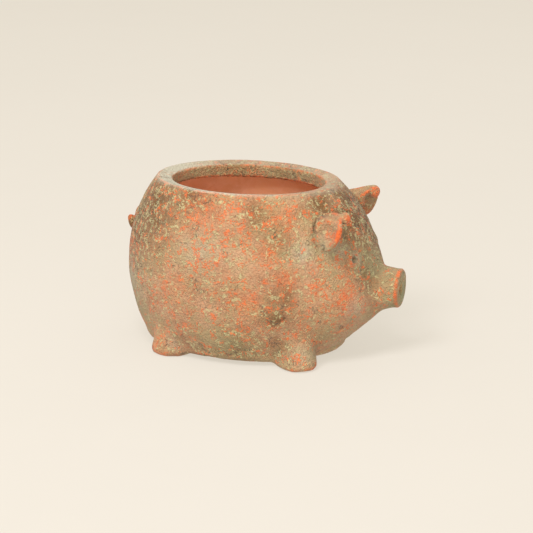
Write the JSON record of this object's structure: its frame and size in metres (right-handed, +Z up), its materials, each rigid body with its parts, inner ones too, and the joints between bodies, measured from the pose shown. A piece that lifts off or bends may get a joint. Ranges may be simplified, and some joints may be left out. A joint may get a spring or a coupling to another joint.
{
  "type": "pig planter",
  "caption": "Pig-shaped planter: an open egg-shaped pot with a turned-in rim, snout, cupped ears, eyes, curled tail and stub feet.",
  "frame": {"origin": "on the ground, under the middle of the planter's overall length and width", "axes": "+X towards the snout, +Y towards the pig's left side, +Z up"},
  "size_m": [0.2423, 0.1568, 0.1438],
  "materials": {
    "terracotta": "matte"
  },
  "bodies": {
    "root": {"pot_body": "terracotta", "mouth_rim": "terracotta", "snout": "terracotta", "tail": "terracotta", "ear_right": "terracotta", "ear_left": "terracotta", "eye_right": "terracotta", "eye_left": "terracotta", "foot_front_right": "terracotta", "foot_front_left": "terracotta", "foot_rear_right": "terracotta", "foot_rear_left": "terracotta"}
  },
  "joints": []
}
